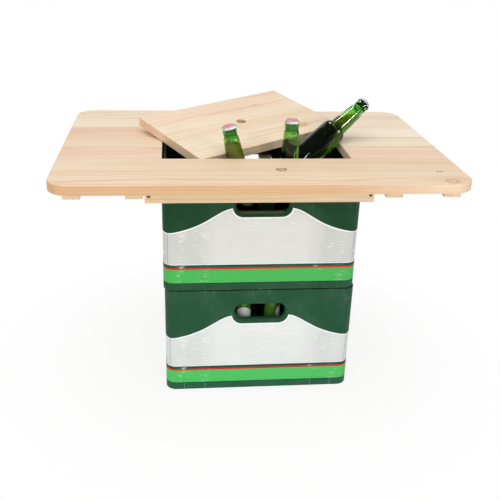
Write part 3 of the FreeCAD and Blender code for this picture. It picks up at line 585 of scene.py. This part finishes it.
def bottle(name, body, place, surface, outer_glass, neck_beer):
    """Glass, cap and beer of one bottle; the beer ends level at the given height in millimetres."""
    glass = glass_form.copy()
    bmesh.ops.transform(glass, matrix=place, verts=glass.verts)
    bmesh.ops.bisect_plane(
        glass,
        geom=glass.verts[:] + glass.edges[:] + glass.faces[:],
        plane_co=(0, 0, surface / MILLIMETRES),
        plane_no=(0, 0, 1),
    )
    for face in glass.faces:
        if face.calc_center_median().z > surface / MILLIMETRES:
            face.material_index = 0
    piece = as_piece(glass, name + "_bottle", body, [outer_glass, wet_glass])
    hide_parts(name + "_glass")
    filled = beer_form.copy()
    bmesh.ops.transform(filled, matrix=place, verts=filled.verts)
    cut = bmesh.ops.bisect_plane(
        filled,
        geom=filled.verts[:] + filled.edges[:] + filled.faces[:],
        plane_co=(0, 0, surface / MILLIMETRES),
        plane_no=(0, 0, 1),
        clear_outer=True,
    )
    rim = [item for item in cut["geom_cut"] if isinstance(item, bmesh.types.BMEdge)]
    bmesh.ops.contextual_create(filled, geom=rim)
    bmesh.ops.recalc_face_normals(filled, faces=filled.faces)
    piece = as_piece(filled, name + "_fill", body, [clear_beer, neck_beer])
    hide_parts(name + "_beer")
    crown = cap_form.copy()
    bmesh.ops.transform(crown, matrix=place, verts=crown.verts)
    piece = as_piece(crown, name + "_crown", body, [red_lacquer, tinplate])
    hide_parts(name + "_cap")


for name, body, base, outer_glass in (
    ("lower_left", "lower_left_bottle", (-18.1, -99, 8.3), scuffed_glass),
    ("lower_right", "lower_right_bottle", (44.3, -99, 8.3), scuffed_glass),
    ("rear_bottle", "rear_bottle", (41.9, 99, 248.3), green_glass),
    ("prop_bottle", "upper_crate", (104.3, -33, 248.3), green_glass),
    ("upright_bottle", "upright_bottle", (68.7, -91, 373.3), green_glass),
):
    bottle(name, body, stood(base), base[2] + FILL_HEIGHT, outer_glass, clear_beer)
for name, base, lean, turn, surface, neck_beer in (
    ("tilted_bottle", (-10.996, -100.394, 368.621), -12.7, 0.0, 539.0, cloudy_beer),
    ("leaning_bottle", (91.5, -47, 481.3414), 60.09, 30.6, 563.3, deep_beer),
):
    bottle(name, name, stood(base, lean, turn), surface, green_glass, neck_beer)
glass_form.free()
beer_form.free()
cap_form.free()

# Neck stickers: ovals of plain silvery paper, stuck round the necks of the two bottles in the lower
# crate. One faces the hand hole, the other is turned to the side.
STICKER_LEVEL, STICKER_HALF, STICKER_REACH = 0.1643, 0.0158, math.radians(58)
STICKER_ROW = -0.099
for name, column, facing in (("lower_left", -0.0181, -90), ("lower_right", 0.0443, -10)):
    paper, tree, shader, place = new_finish(name + "_paper")
    fibre = noise(tree, place, 700.0, 3.0)
    silvery = blend(tree, fibre, paint(236, 239, 236), paint(216, 220, 216))
    tree.links.new(silvery, shader.inputs["Base Color"])
    shader.inputs["Roughness"].default_value = 0.4
    centred = moved(tree, place, location=(-column, -STICKER_ROW, -STICKER_LEVEL))
    ahead, beside, above = parts(tree, moved(tree, centred, turn=(0, 0, -math.radians(facing))))
    around = times(tree, calc(tree, "ARCTAN2", beside, ahead), 1 / STICKER_REACH)
    above = times(tree, above, 1 / STICKER_HALF)
    oval = slant(tree, around, above)
    tree.links.new(calc(tree, "LESS_THAN", oval, 1.0), shader.inputs["Alpha"])
    dress(paper, name + "_sticker")

# Table top: pine staves glued edge to edge, planed and left bare, with rounded outer corners. The growth
# rings are cut as cylinders round a pith that lies below each board, so face, edge and end grain agree.
RING_SCALE = 58.0
EDGE_OUTER, EDGE_INNER = 0.0012, 0.0004


def arrows(tree, work, first, second):
    """A Vector Math node on two vectors."""
    return add(tree, "ShaderNodeVectorMath", {0: first, 1: second}, operation=work).outputs[0]


def distance(tree, vector):
    """How long a vector is."""
    return add(tree, "ShaderNodeVectorMath", {0: vector}, operation="LENGTH").outputs["Value"]


tree, source, sink = new_group(
    "pine_grain",
    (("Vector", "Vector"), ("Pith", "Vector"), ("Light", "Color"), ("Dark", "Color"), ("Lines", "Float")),
    (("Color", "Color"), ("Roughness", "Float"), ("Height", "Float")),
)
spot = source["Vector"]
sway = calc(tree, "SUBTRACT", noise(tree, moved(tree, spot, scale=(3.2, 16, 16)), 1.0, 2.0), 0.5)
drift = add(tree, "ShaderNodeCombineXYZ", {1: times(tree, sway, 0.02), 2: times(tree, sway, 0.012)})
around = arrows(tree, "SUBTRACT", arrows(tree, "ADD", spot, drift.outputs[0]), source["Pith"])
ins = {"Vector": around, "Scale": RING_SCALE}
rings = add(tree, "ShaderNodeTexWave", ins, wave_type="RINGS", rings_direction="X").outputs["Fac"]
late = calc(tree, "POWER", rings, 2.4)
fibre = noise(tree, moved(tree, spot, scale=(9, 520, 520)), 1.0, 3.0, 0.6)
tone = noise(tree, moved(tree, spot, scale=(2.0, 26, 26)), 1.0, 2.0)
share = times(tree, late, times(tree, source["Lines"], spread(tree, tone, 0.3, 0.7, 0.35, 1.0)))
share = calc(tree, "ADD", share, spread(tree, fibre, 0.35, 0.75, 0.0, 0.2))
share = calc(tree, "ADD", share, spread(tree, tone, 0.35, 0.7, 0.0, 0.25))
tree.links.new(blend(tree, share, source["Light"], source["Dark"]), sink["Color"])
tree.links.new(spread(tree, fibre, 0.2, 0.8, 0.5, 0.66), sink["Roughness"])
tree.links.new(calc(tree, "ADD", fibre, times(tree, late, 0.5)), sink["Height"])
pine_grain = tree

# A knot: a brown core in a darker ring, with grain that bends round it
tree, source, sink = new_group(
    "pine_knot",
    (("Vector", "Vector"), ("Middle", "Vector"), ("Size", "Vector")),
    (("Vector", "Vector"), ("Core", "Float"), ("Ring", "Float")),
)
away = arrows(tree, "SUBTRACT", source["Vector"], source["Middle"])
rough = times(tree, calc(tree, "SUBTRACT", noise(tree, source["Vector"], 130.0, 2.0), 0.5), 0.9)
far = distance(tree, arrows(tree, "DIVIDE", away, source["Size"]))
edge = calc(tree, "ADD", far, rough)
tree.links.new(spread(tree, edge, 1.0, 0.75), sink["Core"])
tree.links.new(band(tree, edge, 0.66, 1.1, 0.14), sink["Ring"])
pull = times(tree, spread(tree, far, 0.5, 4.5, 1.0, 0.0), -0.6)
shift = arrows(tree, "MULTIPLY", away, (0.0, 1.0, 0.6))
shift = add(tree, "ShaderNodeVectorMath", {0: shift, "Scale": pull}, operation="SCALE").outputs[0]
tree.links.new(arrows(tree, "ADD", source["Vector"], shift), sink["Vector"])
pine_knot = tree

# Painted shade on the narrow outer faces of a board, laid as a browner tone than its planed face
tree, source, sink = new_group(
    "edge_shade", (("Vector", "Vector"), ("Half", "Vector"), ("Corner", "Float")), (("Edge", "Float"),)
)
past = []
for place, half in zip(parts(tree, source["Vector"])[:2], parts(tree, source["Half"])[:2]):
    beyond = calc(tree, "SUBTRACT", calc(tree, "ABSOLUTE", place), half)
    past.append(calc(tree, "MAXIMUM", calc(tree, "ADD", beyond, source["Corner"]), 0.0))
inset = calc(tree, "SUBTRACT", source["Corner"], slant(tree, *past))
tree.links.new(spread(tree, inset, EDGE_OUTER, EDGE_INNER), sink["Edge"])
edge_shade = tree

KNOT_CORE, KNOT_RING = paint(204, 150, 108), paint(132, 88, 62)
GLUE_LINE = paint(196, 146, 108)
EDGE_SHADE_BROWN, BORED_BROWN = paint(220, 190, 150), paint(226, 190, 140)
EDGE_SHADE_LEFT, EDGE_SHADE_RIGHT = 0.12, 0.36
CORE_SHARE = 0.7
GLUE_OUTER, GLUE_INNER, GLUE_SHARE = 0.0016, 0.0006, 0.5
BORE_OUTER, BORE_INNER = 0.0006, 0.0002


def pine(
    name,
    light,
    dark,
    pith,
    lines,
    location=(0, 0, 0),
    turn=(0, 0, 0),
    knots=(),
    outline=None,
    joints=(),
    bore=0,
):
    """Bare pine; the grain runs along X of the turned coordinates, and knots are in those coordinates."""
    made, tree, shader, place = new_finish(name)
    own = moved(tree, place, location=location, turn=turn)
    local = own
    cores = []
    for middle, size, depth in knots:
        knot = use(tree, pine_knot, {"Vector": local, "Middle": middle, "Size": size})
        local = knot["Vector"]
        cores.append((knot, depth))
    ins = {"Vector": local, "Pith": pith, "Light": light, "Dark": dark, "Lines": lines}
    grain = use(tree, pine_grain, ins)
    colour = grain["Color"]
    for knot, depth in cores:
        colour = over(tree, colour, knot["Core"], depth * CORE_SHARE, KNOT_CORE)
        colour = over(tree, colour, knot["Ring"], depth, KNOT_RING)
    for level in joints:
        gap = calc(tree, "ABSOLUTE", calc(tree, "SUBTRACT", parts(tree, place)[1], level))
        glued = spread(tree, gap, GLUE_OUTER, GLUE_INNER, 0.0, GLUE_SHARE)
        colour = blend(tree, glued, colour, GLUE_LINE)
    # Painted shade: the outer faces are laid browner, by a share that changes from the left to the right
    if outline:
        half, corner, brown = outline
        edge_shading = use(tree, edge_shade, {"Vector": own, "Half": half, "Corner": corner})["Edge"]
        fade = spread(tree, parts(tree, place)[0], EDGE_SHADE_LEFT, EDGE_SHADE_RIGHT, *brown)
        colour = over(tree, colour, edge_shading, fade, EDGE_SHADE_BROWN, "MULTIPLY")
    if bore:
        far = distance(tree, moved(tree, own, scale=(1, 1, 0)))
        bored = spread(tree, far, bore + BORE_OUTER, bore + BORE_INNER)
        colour = blend(tree, bored, colour, BORED_BROWN, "MULTIPLY")
    tree.links.new(colour, shader.inputs["Base Color"])
    tree.links.new(grain["Roughness"], shader.inputs["Roughness"])
    relief(tree, shader, grain["Height"], 0.12, 0.0006)
    return made


# An outline is half sizes, a corner radius, and the depth of the painted edge shade at the left and the
# right
TOP_OUTLINE = ((0.386, 0.281, 0), 0.043, (0.78, 0.15))
TOP_LEVEL, TOP_LINES = 0.512, 0.6
RIM_MARGIN = 0.01
CORNER_KNOT = ((0.3435, -0.262, TOP_LEVEL), (0.013, 0.012, 0.012), 0.3)
SMALL_KNOT = ((0.338, -0.204, TOP_LEVEL), (0.006, 0.004, 0.01), 0.8)
ROUND_KNOT = ((0.0375, -0.1895, TOP_LEVEL), (0.0098, 0.0092, 0.012), 0.85)
PALE, PALE_LATE = paint(240, 219, 192), paint(220, 180, 138)
ROSY, ROSY_LATE = paint(240, 212, 186), paint(220, 172, 136)
WHITE, WARM, CREAM = paint(246, 231, 208), paint(246, 223, 198), paint(244, 225, 199)
for name, light, dark, pith, knots in (
    ("front_outer_stave", PALE, PALE_LATE, (0, -0.26, 0.44), (CORNER_KNOT, SMALL_KNOT)),
    ("front_inner_stave", PALE, PALE_LATE, (0, -0.11, 0.47), (ROUND_KNOT,)),
    ("left_board_front", ROSY, ROSY_LATE, (0, -0.05, 0.46), ()),
    ("left_board_middle", PALE, PALE_LATE, (0, 0.05, 0.42), ()),
    ("left_board_rear", ROSY, ROSY_LATE, (0, 0.13, 0.45), ()),
    ("right_board_front", WARM, ROSY_LATE, (0, -0.14, 0.43), ()),
    ("right_board_middle", WHITE, PALE_LATE, (0, -0.04, 0.46), ()),
    ("right_board_rear", WHITE, WHITE, (0, 0.07, 0.44), ()),
    ("rear_inner_stave", CREAM, PALE, (0, 0.22, 0.45), ()),
    ("rear_outer_stave", WHITE, PALE_LATE, (0, 0.2, 0.44), ()),
):
    sides = [Vector(corner).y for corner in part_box(name)]
    joints = [side for side in sides if abs(side) < TOP_OUTLINE[0][1] - RIM_MARGIN]
    label = name + "_pine"
    wood = pine(label, light, dark, pith, TOP_LINES, knots=knots, outline=TOP_OUTLINE, joints=joints)
    dress(wood, name)

# Battens and collar: planed pine strips screwed under the top. The collar goes over the rim of the upper
# crate and keeps the top from sliding; its side strips and the battens run from front to back.
STRIP, STRIP_LATE = paint(236, 213, 178), paint(214, 174, 130)
STRIP_LINES = 0.5
QUARTER_TURN = -math.pi / 2
lengthways = pine("strip_pine", STRIP, STRIP_LATE, (0, -0.1, 0.4), STRIP_LINES)
cross_turn = (0, 0, QUARTER_TURN)
crossways = pine("batten_pine", STRIP, STRIP_LATE, (0, 0.1, 0.43), STRIP_LINES, turn=cross_turn)
dress(lengthways, "collar_front", "collar_rear")
dress(crossways, "collar_left", "collar_right")
for name in ("left_outer", "left_inner", "right_inner", "right_outer"):
    dress(crossways, "batten_" + name)

# Screws: zinc-plated wood screws that hold the battens and the lid's cleats from below, and bronzed ones
# that hold the collar at its corners and to the battens, all sunk flush.
for name, bright, dull, nodes in (
    ("zinc_screw", paint(186, 182, 166), paint(150, 146, 132), ("batten_screws", "lid_screws")),
    ("bronzed_screw", paint(134, 96, 58), paint(84, 58, 36), ("collar_screws",)),
):
    plated, tree, shader, place = new_finish(name)
    shader.inputs["Metallic"].default_value = 1.0
    spots = noise(tree, place, 900.0, 2.0)
    tree.links.new(blend(tree, spots, bright, dull), shader.inputs["Base Color"])
    tree.links.new(spread(tree, spots, 0.2, 0.8, 0.36, 0.55), shader.inputs["Roughness"])
    dress(plated, *nodes)

# Lid: three pine boards on two cleats, with a finger hole, laid askew over the hatch. The pattern is
# turned into the lid's own directions so that the grain runs along its boards.
LID_MIDDLE = Vector((-0.0157, 0.0766, 0.5367))
ROLL, PITCH, YAW = math.radians(-8.5), math.radians(-1.45), math.radians(-31.7)
LID_OUTLINE = ((0.1855, 0.1185, 0), 0.003, (0.3, 0.3))
LID_KNOT = ((0.11, -0.0776, 0), (0.012, 0.008, 0.01), 0.4)
LID_SPECK = ((0.085, 0.0633, 0), (0.003, 0.002, 0.01), 0.7)
LID_PALE, LID_ROSY = paint(241, 224, 198), paint(242, 222, 196)
FINGER_HOLE, LID_LINES = 0.01, 0.5
lid_turn = (ROLL, PITCH, YAW)
lid_axes = Matrix.Rotation(YAW, 3, "Z") @ Matrix.Rotation(PITCH, 3, "Y") @ Matrix.Rotation(ROLL, 3, "X")
lid_shift = -(lid_axes @ LID_MIDDLE)
for name, light, dark, pith, knots, bore in (
    ("front", LID_PALE, PALE_LATE, (0, -0.07, -0.05), (LID_KNOT,), 0),
    ("middle", LID_PALE, PALE_LATE, (0, 0.03, -0.07), (), FINGER_HOLE),
    ("rear", LID_ROSY, ROSY_LATE, (0, 0.05, -0.06), (LID_SPECK,), 0),
):
    label = "lid_%s_pine" % name
    wood = pine(label, light, dark, pith, LID_LINES, lid_shift, lid_turn, knots, LID_OUTLINE, bore=bore)
    dress(wood, "lid_board_" + name)
cleat_turn = (ROLL, PITCH, YAW + QUARTER_TURN)
cleat_wood = pine("cleat_pine", STRIP, STRIP_LATE, (0, 0.1, 0.4), STRIP_LINES, turn=cleat_turn)
dress(cleat_wood, "lid_cleat_left", "lid_cleat_right")

# Studio: a pale floor that runs out to white and keeps a faint shadow, a large soft lamp overhead, a low
# one and two upright strips in front, and two small lamps that only glint on gloss. Gloss mirrors a
# white wall straight behind the table and a dim room elsewhere.
FLOOR_HALF, FLOOR_GREY = 12.0, (0.86, 0.86, 0.86, 1)
SHADOW_NEAR, SHADOW_FAR, SHADOW_WHITE = 0.3, 0.62, 0.86
DIM_ROOM, SOFT_LIGHT = 0.1, 0.5
floor_mesh = bmesh.new()
bmesh.ops.create_grid(floor_mesh, x_segments=1, y_segments=1, size=FLOOR_HALF)
floor_data = bpy.data.meshes.new("floor")
floor_mesh.to_mesh(floor_data)
floor_mesh.free()
floor = bpy.data.objects.new("floor", floor_data)
bpy.context.collection.objects.link(floor)


def seen_ground(tree):
    """1 for rays that show the white ground: from the camera, off gloss and through glass."""
    rays = add(tree, "ShaderNodeLightPath").outputs
    through = calc(tree, "MAXIMUM", rays["Is Glossy Ray"], rays["Is Transmission Ray"])
    return calc(tree, "MAXIMUM", rays["Is Camera Ray"], through)


backdrop = bpy.data.materials.new("white_floor")
backdrop.use_nodes = True
tree = backdrop.node_tree
tree.nodes.remove(tree.nodes["Principled BSDF"])
matt = add(tree, "ShaderNodeBsdfDiffuse", {"Color": FLOOR_GREY}).outputs[0]
glow = add(tree, "ShaderNodeEmission", {"Color": (1, 1, 1, 1), "Strength": 1.0}).outputs[0]
away = distance(tree, add(tree, "ShaderNodeTexCoord").outputs["Object"])
cleared = spread(tree, away, SHADOW_NEAR, SHADOW_FAR, SHADOW_WHITE, 1.0)
white = times(tree, seen_ground(tree), cleared)
mixed = add(tree, "ShaderNodeMixShader", {0: white, 1: matt, 2: glow}).outputs[0]
tree.links.new(mixed, tree.nodes["Material Output"].inputs["Surface"])
floor_data.materials.append(backdrop)

world = bpy.data.worlds.new("studio")
bpy.context.scene.world = world
world.use_nodes = True
tree = world.node_tree
aside, backwards, upwards = parts(tree, add(tree, "ShaderNodeTexCoord").outputs["Generated"])
straight = times(
    tree,
    spread(tree, backwards, -0.1, 0.4),
    spread(tree, upwards, 0.8, 0.5),
    spread(tree, calc(tree, "ABSOLUTE", aside), 0.6, 0.35),
)
room = spread(tree, straight, 0.0, 1.0, DIM_ROOM, 1.0)
mirrored = add(tree, "ShaderNodeLightPath").outputs["Is Glossy Ray"]
level = between(tree, seen_ground(tree), SOFT_LIGHT, between(tree, mirrored, 1.0, room))
tree.links.new(level, tree.nodes["Background"].inputs["Strength"])
tree.nodes["Background"].inputs["Color"].default_value = (1, 1, 1, 1)

TABLE, FRONT, NECK = (0, 0, 0.4), (0, 0, 0.3), (0.2, 0.02, 0.56)
for name, place, aim, width, height, power, lights in (
    ("overhead", (-0.4, -0.6, 3.2), TABLE, 3.6, 3.6, 52.5, "matt"),
    ("front_fill", (-0.4, -3.2, 0.75), FRONT, 1.2, 0.8, 15.5, "both"),
    ("left_strip", (-1.5, -2.3, 1.5), TABLE, 0.1, 1.3, 12.0, "both"),
    ("right_strip", (1.5, -2.3, 1.5), TABLE, 0.1, 1.3, 12.0, "both"),
    ("rear_glint", (-0.06, 0.95, 2.87), NECK, 0.42, 0.32, 11.0, "gloss"),
    ("side_glint", (2.3, -1.13, 1.27), NECK, 0.42, 0.5, 17.0, "gloss"),
):
    lamp = bpy.data.lights.new(name, "AREA")
    lamp.shape = "RECTANGLE"
    lamp.size = width
    lamp.size_y = height
    lamp.energy = power
    holder = bpy.data.objects.new(name, lamp)
    holder.location = place
    holder.visible_glossy = lights != "matt"
    holder.visible_diffuse = lights != "gloss"
    holder.rotation_euler = (Vector(aim) - Vector(place)).to_track_quat("-Z", "Y").to_euler()
    bpy.context.collection.objects.link(holder)

# Camera: the photograph's viewpoint. Its place, its directions and its focal length were found from the
# edges of the crates and boards.
CAMERA_PLACE = (-0.163591, -1.486443, 0.926349)
RIGHT = Vector((0.994652, -0.099068, 0.029190))
DOWN = Vector((-0.013633, -0.406102, -0.913726))
AHEAD = Vector((0.102375, 0.908442, -0.405281))
SENSOR_WIDTH, FOCAL_LENGTH, FAR_LIMIT = 36.0, 52.522, 60.0
lens = bpy.data.cameras.new("photo_lens")
lens.sensor_width = SENSOR_WIDTH
lens.lens = FOCAL_LENGTH
lens.clip_end = FAR_LIMIT
camera = bpy.data.objects.new("photo_camera", lens)
facing = Matrix((RIGHT, -DOWN, -AHEAD)).transposed().to_4x4()
camera.matrix_world = Matrix.Translation(CAMERA_PLACE) @ facing
bpy.context.collection.objects.link(camera)
bpy.context.scene.camera = camera
bpy.context.scene.view_settings.view_transform = "Standard"
